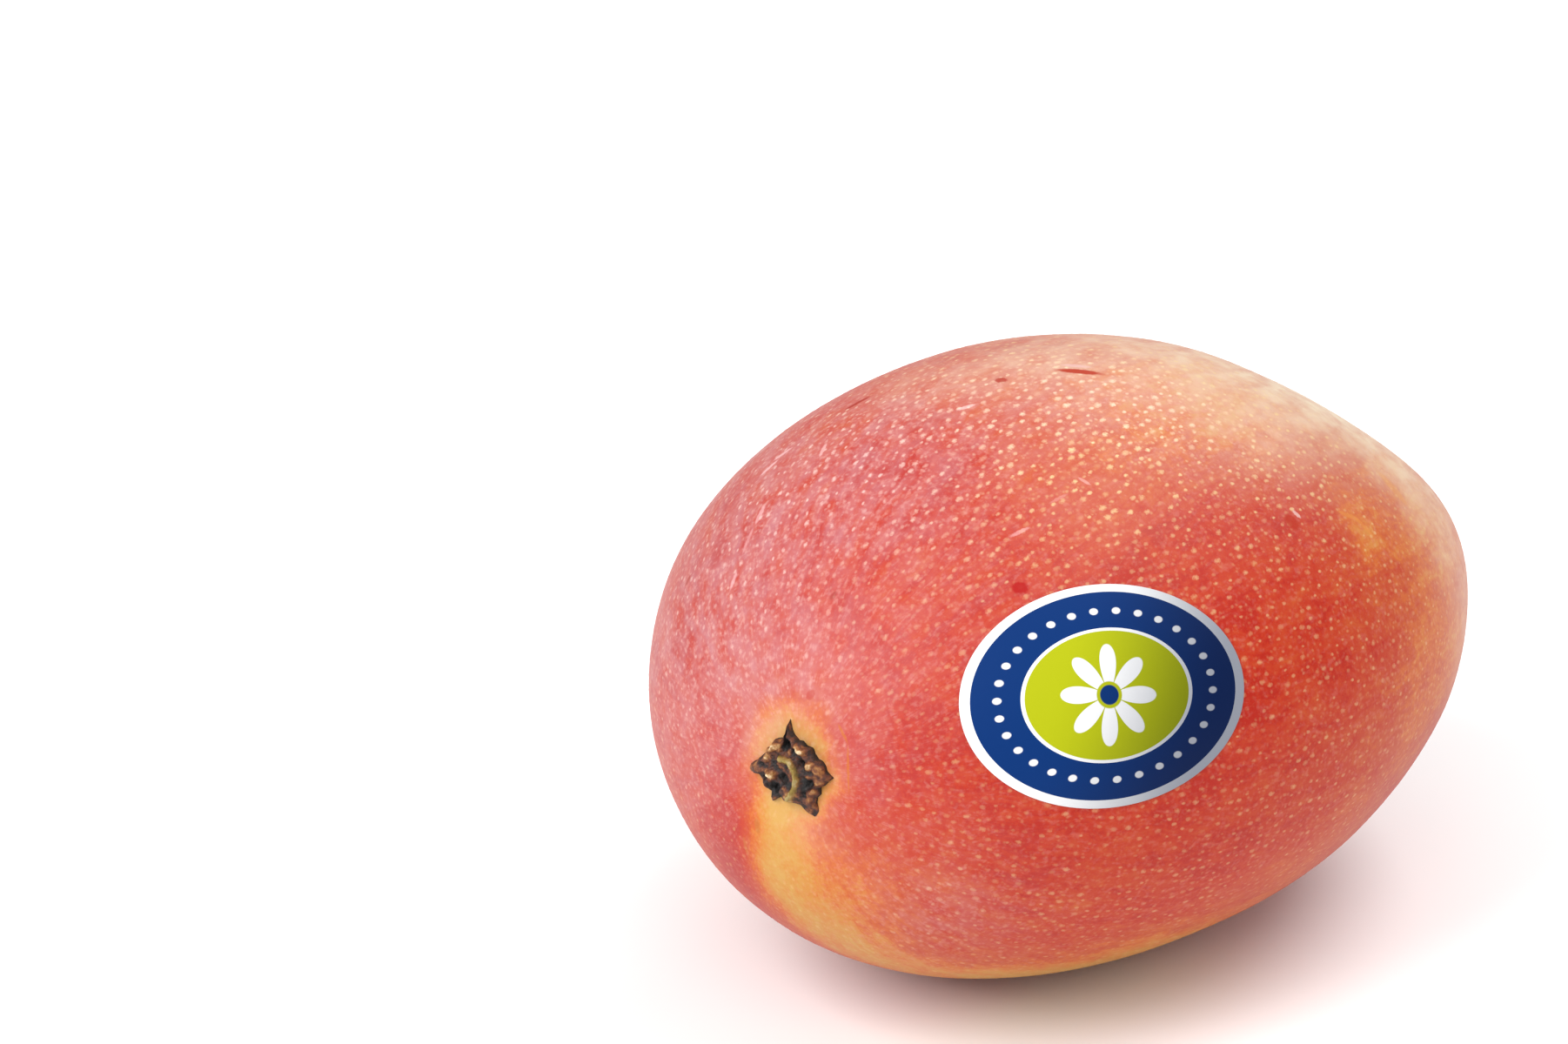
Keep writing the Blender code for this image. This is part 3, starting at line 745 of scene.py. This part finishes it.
relief += RIM_HEIGHT * np.exp(-((edge - RIM_AT) / RIM_WIDTH) ** 2) * standing
for x, y, radius, height in STUB_LUMPS:
    relief += height * np.exp(-(np.hypot(stub_x - x, stub_y - y) / radius) ** 2)
for size, height in STUB_GRAIN:
    relief += waves(flat * MM, size * MM, draw=21.0) * height
rounded_edge = EDGE_DROP * np.clip((edge - EDGE_FROM) / (1 - EDGE_FROM), 0, 1) ** 2
stub_height = np.maximum(PLATE_HEIGHT + relief - beyond * POINT_DROP - rounded_edge, LEAST_HEIGHT)
skirt_x = outline * np.cos(turns)
skirt_y = outline * np.sin(turns)
all_x = np.concatenate([stub_x, skirt_x, [0.0]]) + STUB_CENTRE[0]
all_y = np.concatenate([stub_y, skirt_y, [0.0]]) + STUB_CENTRE[1]
all_height = np.concatenate([stub_height, np.full(STUB_SEGMENTS + 1, -SKIRT_DEPTH)])
all_height += dish_terms(all_x, all_y) @ dish
stub_points = stem_foot + MM * (
    all_x[:, None] * stem_right + all_y[:, None] * stem_top + all_height[:, None] * stem_axis
)
stub_faces = []
for index in range(STUB_SEGMENTS):
    following = (index + 1) % STUB_SEGMENTS
    stub_faces.append((0, 1 + index, 1 + following))
    for ring in range(STUB_RINGS):
        inner, outer = 1 + ring * STUB_SEGMENTS, 1 + (ring + 1) * STUB_SEGMENTS
        stub_faces.append((inner + index, outer + index, outer + following, inner + following))
    base = 1 + STUB_RINGS * STUB_SEGMENTS
    stub_faces.append((base + following, base + index, base + STUB_SEGMENTS))
stub_mesh = bpy.data.meshes.new("stem_stub")
stub_mesh.from_pydata(stub_points.tolist(), [], stub_faces)
skirt = np.zeros(STUB_SEGMENTS + 1)
keep(stub_mesh, "ridge", np.append(ridge * (relief > FIBRE_RELIEF), skirt))
# the skirt's low relief paints its edge black, as shade
keep(stub_mesh, "relief", np.append(relief, skirt + SKIRT_PAINTED_SHADE))
stub = new_piece("stem_stub", stub_mesh)
stub.data.set_sharp_from_angle(angle=math.radians(60))

# Dry stalk wood and cork, torn: dull and rough, brown on the plate, and olive where the fibres are still
# fresh. Light is painted into it by height: black painted shade in the hollows and at the sunk edge, and
# tan to cream painted highlights on the crests.
WOOD_AND_PAINTED_LIGHT_TONES = (
    (0.22, "#0A0404"), (0.42, "#2C120A"), (0.58, "#5A2A12"), (0.72, "#845024"), (0.86, "#A87E4E"),
    (1.00, "#D8BC94"),
)
FIBRE_COLOUR = "#7E6E22"
FIBRE_SHARE = 0.8
# Painted light by height: each mm of relief paints the wood this much lighter, shade in hollows, highlight on
# crests
RELIEF_PAINTED_LIGHT = 0.50               # how much lighter a mm of relief is
GRAIN_SIZE = 0.9 * MM
GRAIN_SPAN, GRAIN_TONES = (0.3, 0.7), (0.22, 0.72)
FIBRE_SIZE, FIBRE_DEPTH = 0.25 * MM, 0.12 * MM
wood, tree, shader = new_material("dry stalk wood")
place = add(tree, "ShaderNodeTexCoord").outputs["Object"]
relief_level = add(tree, "ShaderNodeAttribute", attribute_name="relief").outputs["Fac"]
grain = add(tree, "ShaderNodeTexNoise", {"Vector": place, "Scale": 1 / GRAIN_SIZE, "Detail": 5.0})
grain_level = add(
    tree, "ShaderNodeMapRange",
    {"Value": grain.outputs["Fac"], "From Min": GRAIN_SPAN[0], "From Max": GRAIN_SPAN[1],
     "To Min": GRAIN_TONES[0], "To Max": GRAIN_TONES[1]},
)
# The painted light by height, with the grain's own unevenness added
grain_and_painted_light = add(
    tree, "ShaderNodeMath", {0: relief_level, 1: RELIEF_PAINTED_LIGHT, 2: grain_level.outputs["Result"]},
    operation="MULTIPLY_ADD",
)
tone_and_painted_light = add(tree, "ShaderNodeValToRGB", {"Fac": grain_and_painted_light.outputs[0]})
paint_stops(tone_and_painted_light, WOOD_AND_PAINTED_LIGHT_TONES)
fresh = add(tree, "ShaderNodeAttribute", attribute_name="ridge")
fresh_share = add(
    tree, "ShaderNodeMath", {0: fresh.outputs["Fac"], 1: FIBRE_SHARE}, operation="MULTIPLY",
    use_clamp=True,
)
wood_colour = add(
    tree, "ShaderNodeMix",
    {0: fresh_share.outputs[0], 6: tone_and_painted_light.outputs["Color"], 7: linear(FIBRE_COLOUR)}, data_type="RGBA",
)
tree.links.new(wood_colour.outputs[2], shader.inputs["Base Color"])
shader.inputs["Roughness"].default_value = 0.6
fibres = add(tree, "ShaderNodeTexNoise", {"Vector": place, "Scale": 1 / FIBRE_SIZE, "Detail": 4.0})
wood_bump = add(
    tree, "ShaderNodeBump", {"Strength": 0.9, "Distance": FIBRE_DEPTH, "Height": fibres.outputs["Fac"]}
)
tree.links.new(wood_bump.outputs["Normal"], shader.inputs["Normal"])
stub.data.materials.append(wood)
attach(stub, "root")
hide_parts("stem")

# The sticker. An oval of thin coated paper, printed and die cut. A weak glue on its back holds it on
# the skin, whose curve it follows.
STICKER_THICKNESS = 0.12 * MM
STICKER_LIFT = 0.05 * MM      # the glue under it
STICKER_SEGMENTS = 128
STICKER_RINGS = 16
STICKER_SHIFT = 1.2 * MM      # toward the apex, from where the frame's label is
HEIGHT_SHARE = 0.98           # of the frame's label
RAY_START = 0.1               # the rays that find the skin start this far out, in metres
label_points = points_of(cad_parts["label"].data)
label_centre = label_points.mean(axis=0)
label_normal = np.linalg.svd(label_points - label_centre, full_matrices=False)[2][2]
label_normal *= np.sign(label_normal @ (label_centre - fruit_middle))
label_right = np.cross([0.0, 0.0, 1.0], label_normal)
label_right /= np.linalg.norm(label_right)
label_up = np.cross(label_normal, label_right)
label_half_width = np.abs((label_points - label_centre) @ label_right).max()
label_half_height = np.abs((label_points - label_centre) @ label_up).max() * HEIGHT_SHARE
label_centre += label_right * STICKER_SHIFT


def sticker_point(share, turn, lift):
    """A point over the skin, by its share of the way out to the oval's edge and its turn round it."""
    across = label_right * label_half_width * math.cos(turn)
    upward = label_up * label_half_height * math.sin(turn)
    start = label_centre + (across + upward) * share + label_normal * RAY_START
    place, normal, _, _ = skin_tree.ray_cast(Vector(start), Vector(-label_normal))
    return place + normal * lift


turns = [step * 2 * math.pi / STICKER_SEGMENTS for step in range(STICKER_SEGMENTS)]
shares = [(ring + 1) / STICKER_RINGS for ring in range(STICKER_RINGS)]
sheet = bmesh.new()
loops = []
poles = []
for lift, ring_shares in ((STICKER_LIFT, shares), (STICKER_LIFT + STICKER_THICKNESS, shares[::-1])):
    poles.append(sheet.verts.new(sticker_point(0, 0, lift)))
    for share in ring_shares:
        loops.append([sheet.verts.new(sticker_point(share, turn, lift)) for turn in turns])
for index in range(STICKER_SEGMENTS):
    following = (index + 1) % STICKER_SEGMENTS
    sheet.faces.new((poles[0], loops[0][following], loops[0][index]))
    sheet.faces.new((poles[1], loops[-1][index], loops[-1][following]))
    for lower, upper in zip(loops, loops[1:]):
        sheet.faces.new((lower[index], lower[following], upper[following], upper[index]))
bmesh.ops.recalc_face_normals(sheet, faces=sheet.faces)
sticker_mesh = bpy.data.meshes.new("sticker")
sheet.to_mesh(sticker_mesh)
sheet.free()
sticker_offsets = points_of(sticker_mesh) - label_centre
print_x = sticker_offsets @ label_right
print_y = sticker_offsets @ label_up
print_share = np.hypot(print_x / label_half_width, print_y / label_half_height)
keep(sticker_mesh, "print", np.stack([print_x / MM, print_y / MM, print_share], axis=1))
sticker = new_piece("sticker", sticker_mesh)
sticker.data.set_sharp_from_angle(angle=math.radians(50))

# Matt coated label paper, offset printed: flat, even colours with crisp edges and hardly any shine. It
# has a white rim, a deep blue band with a ring of white dots, a white line, and a lime field with a
# white rosette. A painted shade over all of it darkens it toward the right and the bottom.
PAPER_WHITE = "#DEDEDE"
BAND_BLUE = "#002C67"
FIELD_LIME = "#A3A90D"
FIELD_EDGE, LINE_EDGE, RIM_EDGE = 0.575, 0.605, 0.930      # shares of the way from centre to edge
RING_AT = 0.76                                             # the ring's place, as such a share
RING_DOTS, RING_DOT = 30, 0.50                             # how many dots, and their radius in mm
MEAN_RADIUS = 16.6                                         # of the oval, in mm, as the sizes below are
PETAL_WAVES, PETAL_REACH, PETAL_FULLNESS, PETAL_TURN = 4, 6.4, 0.6, 0.12     # each wave is two petals
EYE_RADIUS, EYE_RIM = 1.25, 0.45
# The painted shade over the print: its colour, then where it starts and ends across the label in mm, and its
# slant
PAINTED_SHADE_COLOUR = "#9397A2"
SHADE_FROM, SHADE_TO, SHADE_SLANT = -8.0, 17.0, -0.45      # where the shade starts and ends, its slant
SOFT_EDGE = 0.06                                           # how far the ink's edges bleed
paper, tree, shader = new_material("matt printed label paper")
printed = add(tree, "ShaderNodeAttribute", attribute_name="print").outputs["Vector"]
across, upward, share = add(tree, "ShaderNodeSeparateXYZ", {"Vector": printed}).outputs
bands = add(tree, "ShaderNodeValToRGB", {"Fac": share})
bands.color_ramp.interpolation = "CONSTANT"
paint_stops(bands, (
    (0.0, FIELD_LIME), (FIELD_EDGE, PAPER_WHITE), (LINE_EDGE, BAND_BLUE), (RIM_EDGE, PAPER_WHITE),
))


def inked(distance, reach, colour, under):
    """Paint a colour where a distance is within the ink's reach, both in mm."""
    ink = add(
        tree, "ShaderNodeMapRange",
        {"Value": distance, "From Min": reach + SOFT_EDGE, "From Max": reach - SOFT_EDGE},
    )
    return add(
        tree, "ShaderNodeMix", {0: ink.outputs["Result"], 6: under, 7: linear(colour)}, data_type="RGBA"
    ).outputs[2]


# The dots: each point's way along the ring and across it, from the dot that it is nearest to
oval = add(
    tree, "ShaderNodeVectorMath", {0: printed, 1: (label_half_width, label_half_height, 1.0)},
    operation="DIVIDE",
).outputs[0]
oval_across, oval_up, _ = add(tree, "ShaderNodeSeparateXYZ", {"Vector": oval}).outputs
ring_pitch = 2 * math.pi * RING_AT * MEAN_RADIUS / RING_DOTS
ring_along = add(tree, "ShaderNodeMath", {0: oval_up, 1: oval_across}, operation="ARCTAN2").outputs[0]
for operation, number in (
    ("MULTIPLY", RING_DOTS / (2 * math.pi)), ("FRACT", 0.0), ("SUBTRACT", 0.5), ("MULTIPLY", ring_pitch),
):
    ring_along = add(tree, "ShaderNodeMath", {0: ring_along, 1: number}, operation=operation).outputs[0]
ring_across = share
for operation, number in (("SUBTRACT", RING_AT), ("MULTIPLY", MEAN_RADIUS)):
    ring_across = add(tree, "ShaderNodeMath", {0: ring_across, 1: number}, operation=operation).outputs[0]
ring_place = add(tree, "ShaderNodeCombineXYZ", {"X": ring_along, "Y": ring_across}).outputs[0]
ring_reach = add(tree, "ShaderNodeVectorMath", {0: ring_place}, operation="LENGTH").outputs["Value"]
ink_colour = inked(ring_reach, RING_DOT, PAPER_WHITE, bands.outputs["Color"])

# The rosette: its edge from the turn round the middle, then its eye and the eye's rim
flat_place = add(tree, "ShaderNodeCombineXYZ", {"X": across, "Y": upward}).outputs[0]
radius = add(tree, "ShaderNodeVectorMath", {0: flat_place}, operation="LENGTH").outputs["Value"]
petal_edge = add(tree, "ShaderNodeMath", {0: upward, 1: across}, operation="ARCTAN2").outputs[0]
for operation, number in (
    ("ADD", PETAL_TURN), ("MULTIPLY", PETAL_WAVES), ("COSINE", 0.0), ("ABSOLUTE", 0.0),
    ("POWER", PETAL_FULLNESS), ("MULTIPLY", PETAL_REACH),
):
    petal_edge = add(tree, "ShaderNodeMath", {0: petal_edge, 1: number}, operation=operation).outputs[0]
past_petals = add(tree, "ShaderNodeMath", {0: radius, 1: petal_edge}, operation="SUBTRACT").outputs[0]
ink_colour = inked(past_petals, 0.0, PAPER_WHITE, ink_colour)
ink_colour = inked(radius, EYE_RADIUS + EYE_RIM, FIELD_LIME, ink_colour)
ink_colour = inked(radius, EYE_RADIUS, BAND_BLUE, ink_colour)
# Painted shade, darkening the whole print, rim included, toward the right and the bottom
shade_place = add(
    tree, "ShaderNodeMath", {0: upward, 1: SHADE_SLANT, 2: across}, operation="MULTIPLY_ADD"
).outputs[0]
shade = add(
    tree, "ShaderNodeMapRange", {"Value": shade_place, "From Min": SHADE_FROM, "From Max": SHADE_TO},
    interpolation_type="SMOOTHSTEP",
)
ink_colour = add(
    tree, "ShaderNodeMix", {0: shade.outputs["Result"], 6: ink_colour, 7: linear(PAINTED_SHADE_COLOUR)},
    data_type="RGBA", blend_type="MULTIPLY",
).outputs[2]
tree.links.new(ink_colour, shader.inputs["Base Color"])
shader.inputs["Roughness"].default_value = 0.5
shader.inputs["Specular IOR Level"].default_value = 0.10
sticker.data.materials.append(paper)
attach(sticker, "root")
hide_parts("label")

# The studio. A plain table of matt white board, which gives no shine and only soft shadows, white walls,
# and softboxes round it with the strongest at the front left.
FLOOR_SIZE = 6.0
FLOOR_DROP = 0.05 * MM     # under the fruit, so that the two don't touch
BOARD_WHITE = "#F8F8F8"
floor_mesh = bpy.data.meshes.new("floor")
half = FLOOR_SIZE / 2
corners = ((-half, -half), (half, -half), (half, half), (-half, half))
floor_mesh.from_pydata([(x, y, -FLOOR_DROP) for x, y in corners], [], [(0, 1, 2, 3)])
floor = bpy.data.objects.new("floor", floor_mesh)
bpy.context.collection.objects.link(floor)
board, tree, shader = new_material("white table")
shader.inputs["Base Color"].default_value = linear(BOARD_WHITE)
shader.inputs["Roughness"].default_value = 1.0
shader.inputs["Specular IOR Level"].default_value = 0.0
floor.data.materials.append(board)

# The camera: a long lens, 0.8 m from the fruit's middle
PHOTO_WIDTH = 1802              # in pixels, as the focal length is
FOCAL_PIXELS = 6877
SENSOR_WIDTH = 36.0
CAMERA_DISTANCE = 0.8
LENS_CENTRE = Vector((0.00096, -0.00009, 0.03924))     # the camera's place is measured from here
STANDS_AT = (-44.0, 24.0)       # azimuth and elevation of the camera, seen from the fruit's middle
LOOKS_FROM = (-41.09, 22.76)    # azimuth and elevation that the lens's axis comes from


def backward(azimuth, elevation):
    """The way back to a place from the fruit. Azimuth 0 is in front of it, toward -Y."""
    around, up = math.radians(azimuth), math.radians(elevation)
    return Vector((math.sin(around) * math.cos(up), -math.cos(around) * math.cos(up), math.sin(up)))


camera_data = bpy.data.cameras.new("camera")
camera_data.sensor_width = SENSOR_WIDTH
camera_data.lens = FOCAL_PIXELS / PHOTO_WIDTH * SENSOR_WIDTH
camera_data.clip_start = 0.01
camera = bpy.data.objects.new("camera", camera_data)
bpy.context.collection.objects.link(camera)
camera.location = LENS_CENTRE + backward(*STANDS_AT) * CAMERA_DISTANCE
camera.rotation_euler = backward(*LOOKS_FROM).to_track_quat("Z", "Y").to_euler()
bpy.context.scene.camera = camera

# Softboxes round the table: azimuth from the camera and elevation in degrees, and power in watts
SOFTBOX_DISTANCE = 1.3
SOFTBOX_SIZE = 0.8
WALL_GLOW = 0.52
SOFTBOXES = (
    ("key softbox", -50.0, 40.0, 14.2), ("front card", 0.0, 40.0, 4.4),
    ("side softbox", 100.0, 62.0, 8.1), ("back card", 150.0, 40.0, 2.7),
)
for name, azimuth, elevation, power in SOFTBOXES:
    way = backward(STANDS_AT[0] + azimuth, elevation)
    lamp = bpy.data.lights.new(name, "AREA")
    lamp.shape = "SQUARE"
    lamp.size = SOFTBOX_SIZE
    lamp.energy = power
    softbox = bpy.data.objects.new(name, lamp)
    softbox.location = Vector(fruit_middle) + way * SOFTBOX_DISTANCE
    softbox.rotation_euler = way.to_track_quat("Z", "Y").to_euler()
    bpy.context.collection.objects.link(softbox)
world = bpy.data.worlds.new("white studio")
world.use_nodes = True
world.node_tree.nodes["Background"].inputs["Color"].default_value = linear("#FFFFFF")
world.node_tree.nodes["Background"].inputs["Strength"].default_value = WALL_GLOW
bpy.context.scene.world = world
bpy.context.scene.view_settings.view_transform = "Standard"
